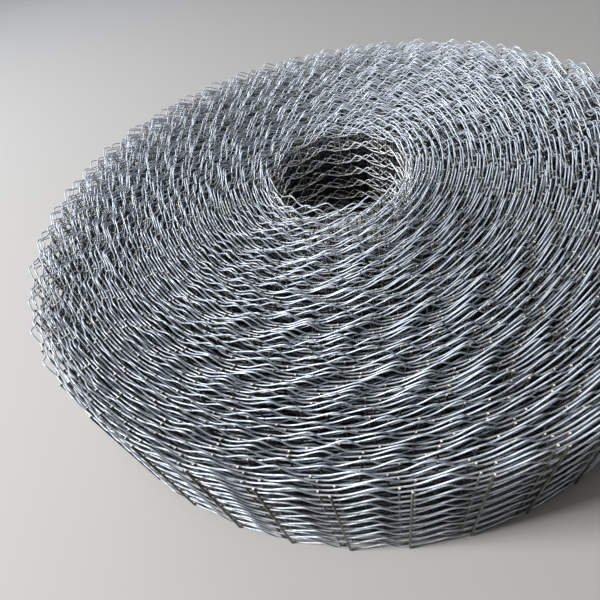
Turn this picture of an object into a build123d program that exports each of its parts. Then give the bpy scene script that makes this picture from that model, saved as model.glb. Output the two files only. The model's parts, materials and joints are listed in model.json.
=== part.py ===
from build123d import *
import os

# Roll of welded wire mesh, standing on one end with its axis upright. Millimetres.
# The origin is the centre of the lower end, and +Z runs up the bore.

OUTER_DIAMETER = 960.0
BORE_DIAMETER = 200.0

# The strip that is rolled up: line wires run along it, one above the other, and are
# crimped upwards between the upright cross wires. The cross wires stand on the ground
# on a short stub below the lowest line wire, and the top wire's crimps are the highest.
LINE_WIRE_DIAMETER = 1.7
CROSS_WIRE_DIAMETER = 2.3
LINE_WIRE_COUNT = 8
LINE_WIRE_PITCH = 25.4
CROSS_WIRE_STUB = 2.6
CRIMP_HEIGHT = 14.0

# The turns lie against each other, a cross wire's and a line wire's thickness apart.
# They show on both ends as rings, each a bundle of turns, with a groove in between.
TURNS_IN_RING = 11
GROOVE_WIDTH = 12.0
GROOVE_DEPTH = 9.0

# Round the outer side each crimped line wire shows as a ridge, with a groove between it
# and the next one.
SIDE_GROOVE_DEPTH = 8.0

outer_radius = OUTER_DIAMETER / 2
bore_radius = BORE_DIAMETER / 2
wound_thickness = outer_radius - bore_radius
turn_pitch = LINE_WIRE_DIAMETER + CROSS_WIRE_DIAMETER
top_line_wire_level = CROSS_WIRE_STUB + LINE_WIRE_PITCH * (LINE_WIRE_COUNT - 1)
roll_height = top_line_wire_level + CRIMP_HEIGHT + LINE_WIRE_DIAMETER / 2

# A whole number of rings fills the roll from its bore to its outermost turn.
ring_count = max(1, round(wound_thickness / (turn_pitch * TURNS_IN_RING)))
ring_pitch = wound_thickness / ring_count


def end_outline(end_level, groove_level):
    """Outline of one end from the bore outwards: flat rings and the grooves between."""
    points = [(bore_radius, end_level)]
    for ring in range(1, ring_count):
        groove_radius = bore_radius + ring * ring_pitch
        points.append((groove_radius - GROOVE_WIDTH / 2, end_level))
        points.append((groove_radius, groove_level))
        points.append((groove_radius + GROOVE_WIDTH / 2, end_level))
    points.append((outer_radius, end_level))
    return points


def side_outline():
    """Outline of the outer side from the ground up: a ridge at the middle of each wire's crimps."""
    points = []
    for wire in range(LINE_WIRE_COUNT):
        ridge_level = CROSS_WIRE_STUB + LINE_WIRE_PITCH * wire + CRIMP_HEIGHT / 2
        points.append((outer_radius, ridge_level))
        points.append((outer_radius - SIDE_GROOVE_DEPTH, ridge_level + LINE_WIRE_PITCH / 2))
    return points[:-1]


def mesh_roll():
    """The wound strip as one turned body, open down its bore."""
    lower_end = end_outline(0, GROOVE_DEPTH)
    upper_end = end_outline(roll_height, roll_height - GROOVE_DEPTH)
    with BuildPart() as roll:
        with BuildSketch(Plane.XZ):
            with BuildLine():
                Polyline(*lower_end, *side_outline(), *reversed(upper_end), close=True)
            make_face()
        revolve(axis=Axis.Z)
    return roll.part


os.makedirs("parts", exist_ok=True)
export_step(mesh_roll(), "parts/mesh_roll.step")
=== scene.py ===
import json
import math
import bpy
import numpy as np
from mathutils import Matrix, Vector


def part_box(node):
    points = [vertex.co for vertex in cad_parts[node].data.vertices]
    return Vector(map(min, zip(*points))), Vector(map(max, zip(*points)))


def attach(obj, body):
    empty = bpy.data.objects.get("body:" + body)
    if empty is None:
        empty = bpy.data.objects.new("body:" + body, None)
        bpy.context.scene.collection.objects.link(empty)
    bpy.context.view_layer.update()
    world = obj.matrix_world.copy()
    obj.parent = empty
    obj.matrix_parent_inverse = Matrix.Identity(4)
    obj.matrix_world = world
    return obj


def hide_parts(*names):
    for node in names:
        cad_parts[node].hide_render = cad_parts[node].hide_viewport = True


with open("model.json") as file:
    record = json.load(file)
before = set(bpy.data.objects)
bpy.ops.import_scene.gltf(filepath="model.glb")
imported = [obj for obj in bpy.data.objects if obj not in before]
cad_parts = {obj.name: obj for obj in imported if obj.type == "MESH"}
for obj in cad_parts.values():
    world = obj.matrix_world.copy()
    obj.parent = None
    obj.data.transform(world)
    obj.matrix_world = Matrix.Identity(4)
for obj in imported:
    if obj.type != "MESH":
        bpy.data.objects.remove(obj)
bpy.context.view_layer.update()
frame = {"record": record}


# Line wires. Eight steel wires, drawn to 1.7 mm and zinc coated, run the length of the
# strip, 25.4 mm apart. Between the cross wires each is crimped upwards in a wave, and the
# strip is wound up on itself, so that each line wire lies in one long spiral.

MM = 0.001
LINE_WIRE_DIAMETER = 1.7 * MM
LINE_WIRE_PITCH = 25.4 * MM
LINE_WIRES = 8
LOWEST_LINE_WIRE = 2.6 * MM

# One wave of the crimp: its height, and where it rises, peaks and comes down again, as
# shares of the span from one weld to the next.
CRIMP_HEIGHT = 13.0 * MM
TROUGH_END = 0.16
CREST = 0.42
TROUGH_START = 0.86
STRAIGHTNESS = 0.4

CROSS_WIRE_DIAMETER = 2.3 * MM
CROSS_WIRE_SPACING = 67.5 * MM
WELD_SINK = 0.3 * MM
WELD_HEAT_REACH = 15 * MM

TURNS = 94.6
INNER_END_AZIMUTH = math.radians(-8)
CROSS_WIRE_AZIMUTH = math.radians(-87.0)
LOOSE_END_LENGTH = 62 * MM
CUT_END_LENGTH = 12 * MM

chance = np.random.default_rng(68)
low_corner, high_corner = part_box("mesh_roll")
roll_radius = (high_corner.x - low_corner.x) / 2
bore_radius = frame["record"]["mounts"][0]["dims"]["r_mm"] * MM
innermost = bore_radius + LINE_WIRE_DIAMETER / 2
outermost = roll_radius - CROSS_WIRE_DIAMETER + WELD_SINK - LINE_WIRE_DIAMETER / 2
turn_pitch = (outermost - innermost) / TURNS
strip_length = math.pi * (innermost + outermost) * TURNS

# The turns aren't wound equally tight: one slips a little round against the next, and
# they bunch up in some places and gape in others. Both fade out at the outer end.
SLIP = 10 * MM
SLIP_STEPS_IN_TURN = 2.3
SLIP_FADES_OVER = 2
BUNCHING = 0.42 * MM
BUNCH_STEPS_IN_TURN = 5.7
BUNCHING_FADES_OVER = 1
slips = chance.normal(0, SLIP, int(SLIP_STEPS_IN_TURN * TURNS) + 3)
bunches = chance.normal(0, BUNCHING, int(BUNCH_STEPS_IN_TURN * TURNS) + 3)

# The turns round the bore are egg-shaped, the inner end of the strip hangs into the bore
# and pulls a part of the first turn with it, and the outer turns bulge on one side. The
# places are azimuths and turns from the inner end.
EGG_SHAPE = 8.5 * MM
EGG_AZIMUTH = math.radians(104)
EGG_FADES_OVER = 25
LOOSE_END = -11 * MM
LOOSE_END_TURNS = 0.14
LOOSE_END_CURVE = 1.5
LOOSE_TURN = -8 * MM
LOOSE_TURN_AT = 0.34
LOOSE_TURN_SPREAD = 0.11
BULGE = 3.2 * MM
BULGE_AZIMUTH = math.radians(-84)
BULGE_FADES_OVER = 14
BULGE_NARROWNESS = 8

# The ends of the roll aren't quite flat. Each wave has its share of the height, its
# number round the roll, and its shift from turn to turn and at the start in radians.
END_HEIGHT = 1.3 * MM
END_WAVES = [(1.0, 2, 0.31, 0), (0.7, 3, -0.77, 1), (0.5, 1, 1.9, 3)]


def uneven(turns, steps, steps_in_turn):
    """A smooth, irregular value along the strip, from one of the rows of chance values."""
    just_before_last = len(steps) - 1.001
    place = np.clip(turns * steps_in_turn + 1, 0, just_before_last)
    before = np.floor(place).astype(int)
    part = place - before
    part = part * part * (3 - 2 * part)
    return steps[before] * (1 - part) + steps[before + 1] * part


def turns_at(length):
    """How many turns the strip has made when this much of it is wound, from the bore out."""
    return (np.sqrt(innermost ** 2 + turn_pitch * length / np.pi) - innermost) / turn_pitch


def length_at(turns):
    """The length of strip that this many turns take."""
    return 2 * np.pi * (innermost * turns + turn_pitch * turns ** 2 / 2)


def slack(turns, azimuth):
    """How far a turn lies off the true spiral, outwards from the axis."""
    to_outer_end = TURNS - turns
    egg_shape = EGG_SHAPE * np.exp(-turns / EGG_FADES_OVER) * np.cos(azimuth - EGG_AZIMUTH)
    loose_end = LOOSE_END * np.clip(1 - turns / LOOSE_END_TURNS, 0, 1) ** LOOSE_END_CURVE
    loose_turn = LOOSE_TURN * np.exp(-((turns - LOOSE_TURN_AT) / LOOSE_TURN_SPREAD) ** 2)
    facing = np.clip(np.cos(azimuth - BULGE_AZIMUTH), 0, 1)
    bulge = BULGE * np.exp(-to_outer_end / BULGE_FADES_OVER) * facing ** BULGE_NARROWNESS
    bunched = uneven(turns, bunches, BUNCH_STEPS_IN_TURN)
    bunched = bunched * np.clip(to_outer_end / BUNCHING_FADES_OVER, 0, 1)
    return egg_shape + loose_end + loose_turn + bulge + bunched


def lift(turns, azimuth):
    """How far a turn stands above its lowest place."""
    waves = sum(share * np.sin(number * azimuth + drift * turns + start)
                for share, number, drift, start in END_WAVES)
    return END_HEIGHT * (1 + waves / sum(share for share, *_ in END_WAVES))


def place_on_strip(length, level, outwards):
    """Points at this height on the strip, and the way out from the axis at each."""
    turns = turns_at(length)
    spiral_radius = innermost + turn_pitch * turns
    slip = uneven(turns, slips, SLIP_STEPS_IN_TURN)
    slip = slip * np.clip((TURNS - turns) / SLIP_FADES_OVER, 0, 1)
    azimuth = INNER_END_AZIMUTH - 2 * np.pi * turns - slip / spiral_radius
    way_out = np.stack([np.cos(azimuth), np.sin(azimuth), np.zeros_like(azimuth)], axis=-1)
    radius = spiral_radius + slack(turns, azimuth) + outwards
    points = radius[..., None] * way_out
    points[..., 2] = level + lift(turns, azimuth)
    return points, way_out


# No two welds and crimps came out quite alike. A crimp's height is a share of the usual
# one, its crest moves along the span, and it leans out from the axis by its tilt.
WELD_SPREAD = 0.5 * MM
LEAN_SPREAD = 0.006
CRIMP_SPREAD = 0.09
LOWEST_CRIMP = 0.78
HIGHEST_CRIMP = 1.12
CREST_SPREAD = 0.03
CREST_TILT = 0.8 * MM
TILT_SPREAD = 1.1 * MM
TILT_LIMIT = 2 * MM


def cross_wire_lengths():
    """Where along the strip each cross wire is welded, so that one stands as in the photo."""
    turns_in = (INNER_END_AZIMUTH - CROSS_WIRE_AZIMUTH) / (2 * np.pi)
    outer_turn = math.floor(TURNS - turns_in) + turns_in
    first = length_at(outer_turn) % CROSS_WIRE_SPACING
    if first < LOOSE_END_LENGTH:
        first += CROSS_WIRE_SPACING
    even = np.arange(first, strip_length - CUT_END_LENGTH, CROSS_WIRE_SPACING)
    return even + chance.normal(0, WELD_SPREAD, len(even))


cross_wire_at = cross_wire_lengths()
cross_wire_lean = chance.normal(0, LEAN_SPREAD, len(cross_wire_at))
spans = len(cross_wire_at) + 1
crimp_scale = np.clip(chance.normal(1, CRIMP_SPREAD, spans), LOWEST_CRIMP, HIGHEST_CRIMP)
crimp_scale[[0, -1]] = 0
crest_shift = chance.normal(0, CREST_SPREAD, spans)
tilt_chance = chance.normal(0, TILT_SPREAD, spans)
crest_tilt = CREST_TILT + np.clip(tilt_chance, -TILT_LIMIT, TILT_LIMIT)


def crimp(part_of_span):
    """Height of the wave from one weld, 0, to the next, 1: a steep side and a straighter one."""
    before = np.clip((CREST - part_of_span) / (CREST - TROUGH_END), 0, 1)
    after = np.clip((part_of_span - CREST) / (TROUGH_START - CREST), 0, 1)
    rounded = 0.5 + 0.5 * np.cos(np.pi * np.maximum(before, after))
    return np.where(after > 0, (1 - STRAIGHTNESS) * rounded + STRAIGHTNESS * (1 - after), rounded)


def line_wire_path(level, first_span, last_span, stations):
    """Centre line of one line wire over some spans, with these stations in each span."""
    welds = cross_wire_at + cross_wire_lean * (level - LINE_WIRE_PITCH * (LINE_WIRES - 1) / 2)
    ends = np.concatenate([[welds[0] - LOOSE_END_LENGTH], welds, [welds[-1] + CUT_END_LENGTH]])
    span = np.repeat(np.arange(first_span, last_span), len(stations))
    part = np.tile(stations, last_span - first_span)
    span = np.append(span, last_span - 1)
    part = np.append(part, 1.0)
    length = ends[span] * (1 - part) + ends[span + 1] * part
    wave = crimp(part + crest_shift[span] * np.sin(np.pi * part)) * crimp_scale[span]
    points, way_out = place_on_strip(length, level, crest_tilt[span] * wave)
    points[:, 2] += CRIMP_HEIGHT * wave
    from_weld = np.minimum(length - ends[span], ends[span + 1] - length)
    return points, way_out, np.clip(1 - from_weld / WELD_HEAT_REACH, 0, 1)


def wire_corners(paths, way_out, diameter, sides):
    """The corners round each point of the wires, which makes each as wide as the round wire."""
    along = np.gradient(paths, axis=1)
    sideways = np.cross(along, way_out)
    sideways /= np.linalg.norm(sideways, axis=-1, keepdims=True)
    across = np.cross(sideways, along)
    across /= np.linalg.norm(across, axis=-1, keepdims=True)
    angle = 2 * np.pi * (np.arange(sides) + 0.5) / sides
    ring = np.cos(angle)[:, None] * across[:, :, None] + np.sin(angle)[:, None] * sideways[:, :, None]
    corner_radius = np.pi / (sides * np.sin(np.pi / sides)) * diameter / 2
    return paths[:, :, None] + corner_radius * ring


def wires_mesh(name, paths, way_out, heat, diameter, sides):
    """Joined wires, one along each row of points, with flat cut ends as their second material."""
    corners = wire_corners(paths, way_out, diameter, sides).reshape(-1, 3)
    number = np.arange(len(corners)).reshape(len(paths), -1, sides)
    following = np.roll(number, -1, axis=2)
    quads = [number[:, :-1], following[:, :-1], following[:, 1:], number[:, 1:]]
    quads = np.stack(quads, axis=-1).reshape(-1, 4)
    cut_ends = np.concatenate([number[:, 0, ::-1], number[:, -1]])
    mesh = bpy.data.meshes.new(name)
    mesh.vertices.add(len(corners))
    mesh.vertices.foreach_set("co", corners.ravel())
    mesh.loops.add(quads.size + cut_ends.size)
    mesh.loops.foreach_set("vertex_index", np.concatenate([quads.ravel(), cut_ends.ravel()]))
    quad_starts = np.arange(len(quads)) * 4
    cut_end_starts = quads.size + np.arange(len(cut_ends)) * sides
    is_cut_end = np.repeat([False, True], [len(quads), len(cut_ends)])
    mesh.polygons.add(len(is_cut_end))
    mesh.polygons.foreach_set("loop_start", np.concatenate([quad_starts, cut_end_starts]))
    mesh.polygons.foreach_set("use_smooth", ~is_cut_end)
    mesh.polygons.foreach_set("material_index", is_cut_end.astype(np.int32))
    mesh.update(calc_edges=True)
    weld_heat = mesh.attributes.new("weld_heat", "FLOAT", "POINT")
    weld_heat.data.foreach_set("value", np.repeat(heat.ravel(), sides))
    return mesh


def add_piece(mesh, materials):
    """Puts a mesh of the roll into the scene, in place of the plain turned body."""
    for material in materials:
        mesh.materials.append(material)
    piece = bpy.data.objects.new(mesh.name, mesh)
    bpy.context.scene.collection.objects.link(piece)
    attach(piece, "root")
    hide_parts("mesh_roll")


def colour(hex_value):
    """A written sRGB colour such as 8A949C, as linear red, green, blue and alpha."""
    parts = [int(hex_value[place:place + 2], 16) / 255 for place in (0, 2, 4)]
    linear = [part / 12.92 if part <= 0.04045 else ((part + 0.055) / 1.055) ** 2.4 for part in parts]
    return (*linear, 1.0)


def add_node(tree, kind, sockets=None, **settings):
    """Adds a node, makes its settings, and sets or links its sockets."""
    made = tree.nodes.new(kind)
    for setting, value in settings.items():
        setattr(made, setting, value)
    for socket, value in (sockets or {}).items():
        if isinstance(value, bpy.types.NodeSocket):
            tree.links.new(value, made.inputs[socket])
        else:
            made.inputs[socket].default_value = value
    return made


# Zinc-coated drawn steel wire. The zinc is dull grey-blue with brighter patches where it
# froze in larger crystals or was rubbed bright in the crimping rolls. The covered wires deep
# within the roll get darker copies of it, which are painted shade, and those round the bore a
# brighter copy with less dust, which is painted light.

ZINC_DULL = "B2BECA"
ZINC_BRIGHT = "E6EDF5"
# Painted light: the pale zinc of the brighter copy that the wires round the bore get.
ZINC_PAINTED_LIGHT = "FAF9F6"
ZINC_DUSTY = "8D8F92"
ZINC_AT_WELD = "AEABA6"
# Painted shade: the darker zinc of the covered wires that lie partly in the shade of those above.
PAINTED_HALF_SHADE_DULL = "626B75"
PAINTED_HALF_SHADE_BRIGHT = "949EA9"
# Painted shade: the darkest zinc, for the covered wires deep within the roll.
SHADED_DULL = "2B2F34"
SHADED_BRIGHT = "545B63"
SHADED_DUSTY = "1B1B1C"
CRYSTAL_SIZE = 7 * MM
DUST_PATCH = 90 * MM
DRAWING_MARK = 0.7 * MM
WELD_HEAT_SHARE = 0.7


def galvanised_wire(name, dull, bright, dusty, dust_amount):
    """Galvanised wire: mottled zinc, duller at the welds, dust in patches, drawing marks."""
    material = bpy.data.materials.new(name)
    material.use_nodes = True
    tree = material.node_tree
    shader = tree.nodes["Principled BSDF"]
    place = add_node(tree, "ShaderNodeTexCoord").outputs["Object"]
    crystals = add_node(tree, "ShaderNodeTexNoise", {
        "Vector": place, "Scale": 1 / CRYSTAL_SIZE, "Detail": 3.0, "Roughness": 0.6})
    patches = add_node(tree, "ShaderNodeTexNoise", {
        "Vector": place, "Scale": 1 / DUST_PATCH, "Detail": 4.0, "Roughness": 0.55})
    marks = add_node(tree, "ShaderNodeTexNoise", {
        "Vector": place, "Scale": 1 / DRAWING_MARK, "Detail": 2.0, "Roughness": 0.5})
    brightness = add_node(tree, "ShaderNodeMapRange", {
        "Value": crystals.outputs["Fac"], "From Min": 0.35, "From Max": 0.68})
    zinc = add_node(tree, "ShaderNodeMix", {
        "Factor": brightness.outputs["Result"], "A": colour(dull), "B": colour(bright)},
        data_type="RGBA")
    dust = add_node(tree, "ShaderNodeMapRange", {
        "Value": patches.outputs["Fac"], "From Min": 0.48, "From Max": 0.75,
        "To Max": dust_amount})
    heat = add_node(tree, "ShaderNodeAttribute", attribute_name="weld_heat")
    heat_share = add_node(tree, "ShaderNodeMath", {
        0: heat.outputs["Fac"], 1: WELD_HEAT_SHARE}, operation="MULTIPLY")
    heated = add_node(tree, "ShaderNodeMix", {
        "Factor": heat_share.outputs["Value"], "A": zinc.outputs["Result"],
        "B": colour(ZINC_AT_WELD)}, data_type="RGBA")
    surface = add_node(tree, "ShaderNodeMix", {
        "Factor": dust.outputs["Result"], "A": heated.outputs["Result"],
        "B": colour(dusty)}, data_type="RGBA")
    gloss = add_node(tree, "ShaderNodeMapRange", {
        "Value": crystals.outputs["Fac"], "From Min": 0.3, "From Max": 0.7,
        "To Min": 0.52, "To Max": 0.4})
    relief = add_node(tree, "ShaderNodeBump", {
        "Height": marks.outputs["Fac"], "Strength": 0.08, "Distance": 0.1 * MM})
    tree.links.new(surface.outputs["Result"], shader.inputs["Base Color"])
    tree.links.new(gloss.outputs["Result"], shader.inputs["Roughness"])
    tree.links.new(relief.outputs["Normal"], shader.inputs["Normal"])
    shader.inputs["Metallic"].default_value = 0.35
    return material


zinc_wire = galvanised_wire("galvanised_line_wire", ZINC_DULL, ZINC_BRIGHT, ZINC_DUSTY, 0.5)
# The wires round the bore get a brighter copy of the zinc with less dust: painted light.
zinc_painted_light_at_bore = galvanised_wire(
    "galvanised_line_wire_painted_light_at_bore", ZINC_DULL, ZINC_PAINTED_LIGHT, ZINC_DUSTY, 0.2)
# Two darker copies of the zinc for the covered turns: painted shade.
zinc_painted_half_shade = galvanised_wire(
    "galvanised_line_wire_painted_half_shade", PAINTED_HALF_SHADE_DULL, PAINTED_HALF_SHADE_BRIGHT, SHADED_DUSTY, 0.7)
zinc_painted_shade = galvanised_wire(
    "galvanised_line_wire_painted_shade", SHADED_DULL, SHADED_BRIGHT, SHADED_DUSTY, 0.8)

# Where a line wire has its points, as shares of a span. The top wire shows its crests best
# and has them closest. A wire between is seen only through the turns above and beside it,
# but its innermost and outermost turns are as open to view as the top wire.
TOP_STATIONS = np.array([0, 0.13, 0.20, 0.26, 0.32, 0.38, 0.43, 0.49, 0.57, 0.66, 0.75, 0.86])
NEXT_STATIONS = np.array([0.10, 0.19, 0.28, 0.37, 0.46, 0.59, 0.72, 0.86])
LOWEST_STATIONS = np.array([0.14, 0.27, 0.38, 0.48, 0.64, 0.83])
INNER_STATIONS = np.array([0.18, 0.38, 0.48, 0.80])
MIDDLE_STATIONS = np.array([0.18, 0.43, 0.80])
BORE_TURNS = 4.0
OUTSIDE_TURNS = 2.0
OPEN_SIDES = 6
TOP_WIRE_SIDES = 5

# The covered turns of each wire below the top one, from the lowest up: the places of
# their points, their sides and their zinc. The zinc is painted shade: a darker copy for the
# lowest and the highest of them, and a darker one still for those between.
COVERED_TURNS = [
    (LOWEST_STATIONS, 3, zinc_painted_half_shade),
    (INNER_STATIONS, 3, zinc_painted_shade),
    (MIDDLE_STATIONS, 3, zinc_painted_shade),
    (MIDDLE_STATIONS, 3, zinc_painted_shade),
    (MIDDLE_STATIONS, 3, zinc_painted_shade),
    (INNER_STATIONS, 3, zinc_painted_shade),
    (NEXT_STATIONS, 4, zinc_painted_half_shade),
]


def line_wire(name, number, first_span, last_span, stations, sides, material):
    """One line wire, counted from the lower end, over some of its spans."""
    level = LOWEST_LINE_WIRE + LINE_WIRE_PITCH * number
    path, way_out, heat = line_wire_path(level, first_span, last_span, stations)
    mesh = wires_mesh(name, path[None], way_out[None], heat, LINE_WIRE_DIAMETER, sides)
    add_piece(mesh, [material, material])


def add_line_wires():
    """The lower line wires, each in three lengths, and the top one in two."""
    limits = length_at(np.array([BORE_TURNS, TURNS - OUTSIDE_TURNS]))
    covered, outside = np.searchsorted(cross_wire_at, limits)
    for number, (stations, sides, zinc) in enumerate(COVERED_TURNS):
        name = f"line_wire_{number + 1}"
        # Round the bore the zinc is a brighter copy, which is painted light.
        line_wire(name + "_at_bore", number, 0, covered, TOP_STATIONS, OPEN_SIDES, zinc_painted_light_at_bore)
        # The covered turns take a darker zinc, which is painted shade.
        line_wire(name + "_wound", number, covered, outside, stations, sides, zinc)
        line_wire(name + "_outside", number, outside, spans, TOP_STATIONS, OPEN_SIDES, zinc_wire)
    top = LINE_WIRES - 1
    half = spans // 2
    line_wire("line_wire_8_inner_turns", top, 0, half, TOP_STATIONS, TOP_WIRE_SIDES, zinc_wire)
    line_wire("line_wire_8_outer_turns", top, half, spans, TOP_STATIONS, TOP_WIRE_SIDES, zinc_wire)


add_line_wires()


# Cross wires. Straight 2.3 mm wires are welded across the outer face of the line wires,
# and are cut off just beyond the first and last of them. Their cut ends show as bright
# dots all over the ends of the roll, and the lower ones stand on the ground.

CROSS_WIRE_STUB = 2.6 * MM
CROSS_WIRE_SIDES = 6
OPEN_TURNS = 3.0
STEEL_CUT = "FAF7F2"
STEEL_TORN = "4C4946"
SHEARED_GRAIN = 1.4 * MM
CROSS_DULL = "45443C"
CROSS_BRIGHT = "6E6D64"
CROSS_DUSTY = "38322A"
# Painted shade: the dark zinc of the cross wires within the roll.
CROSS_SHADED = "1C1B18"


def cross_wires(name, first, last):
    """Some of the cross wires, upright, each with the small lean that it was welded at."""
    top_line_wire = LOWEST_LINE_WIRE + LINE_WIRE_PITCH * (LINE_WIRES - 1)
    middle = (top_line_wire + LOWEST_LINE_WIRE) / 2
    outwards = (LINE_WIRE_DIAMETER + CROSS_WIRE_DIAMETER) / 2 - WELD_SINK
    ends = []
    for level in (0.0, top_line_wire + CROSS_WIRE_STUB):
        length = cross_wire_at + cross_wire_lean * (level - middle)
        points, way_out = place_on_strip(length[first:last], level, outwards)
        ends.append(points)
    paths = np.stack(ends, axis=1)
    ways_out = np.stack([way_out, way_out], axis=1)
    no_heat = np.zeros(paths.shape[:2])
    return wires_mesh(name, paths, ways_out, no_heat, CROSS_WIRE_DIAMETER, CROSS_WIRE_SIDES)


def sheared_steel(name):
    """The cut ends: bare steel, still bright where the blade went in and torn beside it."""
    material = bpy.data.materials.new(name)
    material.use_nodes = True
    tree = material.node_tree
    shader = tree.nodes["Principled BSDF"]
    place = add_node(tree, "ShaderNodeTexCoord").outputs["Object"]
    grain = add_node(tree, "ShaderNodeTexNoise", {"Vector": place, "Scale": 1 / SHEARED_GRAIN})
    torn = add_node(tree, "ShaderNodeMapRange", {
        "Value": grain.outputs["Fac"], "From Min": 0.42, "From Max": 0.5})
    face = add_node(tree, "ShaderNodeMix", {
        "Factor": torn.outputs["Result"], "A": colour(STEEL_TORN), "B": colour(STEEL_CUT)},
        data_type="RGBA")
    relief = add_node(tree, "ShaderNodeBump", {
        "Height": grain.outputs["Fac"], "Strength": 0.5, "Distance": 0.2 * MM})
    tree.links.new(relief.outputs["Normal"], shader.inputs["Normal"])
    tree.links.new(face.outputs["Result"], shader.inputs["Base Color"])
    shader.inputs["Metallic"].default_value = 0.1
    shader.inputs["Roughness"].default_value = 0.45
    return material


cut_end = sheared_steel("sheared_wire_end")
cross_wire_zinc = galvanised_wire(
    "galvanised_cross_wire", CROSS_DULL, CROSS_BRIGHT, CROSS_DUSTY, 0.9)
# The cross wires within the roll get a darker copy of their zinc: painted shade.
cross_wire_painted_shade = galvanised_wire(
    "galvanised_cross_wire_painted_shade", CROSS_SHADED, CROSS_DULL, CROSS_SHADED, 0.9)
open_limits = length_at(np.array([OPEN_TURNS, TURNS - OPEN_TURNS]))
within, outside = np.searchsorted(cross_wire_at, open_limits)
add_piece(cross_wires("cross_wires_at_bore", 0, within), [cross_wire_zinc, cut_end])
add_piece(cross_wires("cross_wires_within", within, outside), [cross_wire_painted_shade, cut_end])
add_piece(cross_wires("cross_wires_outside", outside, None), [cross_wire_zinc, cut_end])


# Floor. A plain pale surface that the roll lies on, and that takes its shadow.

FLOOR_SIZE = 12.0
FLOOR_LEVEL = -0.2 * MM
FLOOR_COLOUR = "B4B2AE"


def add_floor():
    """One flat square, a hair below the lower ends of the cross wires."""
    half = FLOOR_SIZE / 2
    corners = [(-half, -half, 0), (half, -half, 0), (half, half, 0), (-half, half, 0)]
    mesh = bpy.data.meshes.new("floor")
    mesh.from_pydata(corners, [], [(0, 1, 2, 3)])
    material = bpy.data.materials.new("pale_floor_paint")
    material.use_nodes = True
    shader = material.node_tree.nodes["Principled BSDF"]
    shader.inputs["Base Color"].default_value = colour(FLOOR_COLOUR)
    shader.inputs["Roughness"].default_value = 0.8
    mesh.materials.append(material)
    floor = bpy.data.objects.new("floor", mesh)
    floor.location.z = FLOOR_LEVEL
    bpy.context.scene.collection.objects.link(floor)


add_floor()


# Light. A bright soft lamp on the left, a weak bluish one from behind on the left, a weak
# one overhead, a narrow one straight down the bore, and a pale backdrop all round.

ROLL_MIDDLE = Vector((0, 0, 0.1))
BORE_LAMP_ABOVE = 1.5
BORE_LAMP_REACH = 1.06 * bore_radius
SKY_COLOUR = "DCE3EA"
SKY_STRENGTH = 0.02
BACKDROP_COLOUR = "E4E5E6"
BACKDROP_STRENGTH = 0.45


def add_lamp(name, kind, place, power, tint, **settings):
    """A soft lamp that faces the middle of the roll."""
    lamp = bpy.data.lights.new(name, kind)
    lamp.energy = power
    lamp.color = colour(tint)[:3]
    for setting, value in settings.items():
        setattr(lamp, setting, value)
    holder = bpy.data.objects.new(name, lamp)
    holder.location = place
    aim = ROLL_MIDDLE - Vector(place)
    holder.rotation_euler = aim.to_track_quat("-Z", "Y").to_euler()
    bpy.context.scene.collection.objects.link(holder)


add_lamp("key_lamp", "AREA", (-3.8, -0.8, 2.9), 355, "FDFDFF", size=1.1)
add_lamp("sky_lamp", "AREA", (-2.6, 3.0, 2.9), 50, "CDDDF8", size=2.6)
add_lamp("top_lamp", "AREA", (0.0, -0.5, 3.6), 18, "FAF6F0", size=0.8)
add_lamp("bore_lamp", "SPOT", (0, 0, high_corner.z + BORE_LAMP_ABOVE), 85, "FAF6F0",
         shadow_soft_size=0.05, spot_blend=0.2,
         spot_size=2 * math.atan(BORE_LAMP_REACH / BORE_LAMP_ABOVE))


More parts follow.
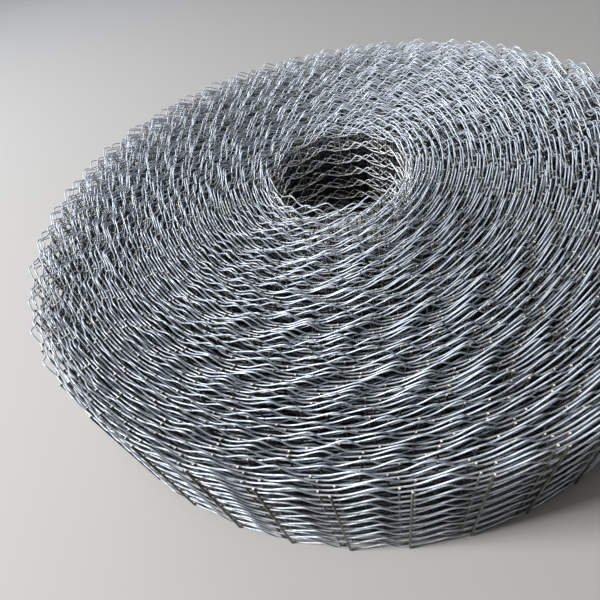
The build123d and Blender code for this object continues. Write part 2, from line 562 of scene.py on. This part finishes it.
def add_studio():
    """The even sky, and a pale backdrop that is only seen, directly or mirrored in the zinc."""
    world = bpy.data.worlds.new("studio")
    bpy.context.scene.world = world
    world.use_nodes = True
    tree = world.node_tree
    sky = tree.nodes["Background"]
    sky.inputs["Color"].default_value = colour(SKY_COLOUR)
    sky.inputs["Strength"].default_value = SKY_STRENGTH
    backdrop = add_node(tree, "ShaderNodeBackground", {
        "Color": colour(BACKDROP_COLOUR), "Strength": BACKDROP_STRENGTH})
    ray = add_node(tree, "ShaderNodeLightPath").outputs
    seen_or_mirrored = add_node(tree, "ShaderNodeMath", {
        0: ray["Is Camera Ray"], 1: ray["Is Glossy Ray"]}, operation="MAXIMUM")
    seen = add_node(tree, "ShaderNodeMath", {
        0: seen_or_mirrored.outputs["Value"], 1: ray["Is Transmission Ray"]}, operation="MAXIMUM")
    shown = add_node(tree, "ShaderNodeMixShader", {
        0: seen.outputs["Value"], 1: sky.outputs["Background"], 2: backdrop.outputs["Background"]})
    tree.links.new(shown.outputs["Shader"], tree.nodes["World Output"].inputs["Surface"])


add_studio()


# Camera. It looks down on the roll from close to its near edge, tilted as in the photo.

CAMERA_PLACE = Vector((0, -606.5 * MM, 573.4 * MM))
CAMERA_HEADING = math.radians(-10.28)
CAMERA_DOWN = math.radians(47.28)
CAMERA_ROLL = math.radians(-15.03)
FOCAL_LENGTH_IN_PIXELS = 448.7
FRAME_IN_PIXELS = 600
SENSOR_WIDTH = 36.0


def add_camera():
    """The camera, turned from its heading, its tilt down and its roll."""
    forward = Vector((
        math.sin(CAMERA_HEADING) * math.cos(CAMERA_DOWN),
        math.cos(CAMERA_HEADING) * math.cos(CAMERA_DOWN),
        -math.sin(CAMERA_DOWN)))
    level_right = Vector((math.cos(CAMERA_HEADING), -math.sin(CAMERA_HEADING), 0))
    level_up = level_right.cross(forward)
    right = math.cos(CAMERA_ROLL) * level_right + math.sin(CAMERA_ROLL) * level_up
    up = math.cos(CAMERA_ROLL) * level_up - math.sin(CAMERA_ROLL) * level_right
    camera = bpy.data.cameras.new("camera")
    camera.sensor_width = SENSOR_WIDTH
    camera.lens = FOCAL_LENGTH_IN_PIXELS / FRAME_IN_PIXELS * SENSOR_WIDTH
    holder = bpy.data.objects.new("camera", camera)
    turned = Matrix((right, up, -forward)).transposed().to_4x4()
    holder.matrix_world = Matrix.Translation(CAMERA_PLACE) @ turned
    bpy.context.scene.collection.objects.link(holder)
    bpy.context.scene.camera = holder


add_camera()
bpy.context.scene.view_settings.view_transform = "Standard"

bpy.context.view_layer.update()
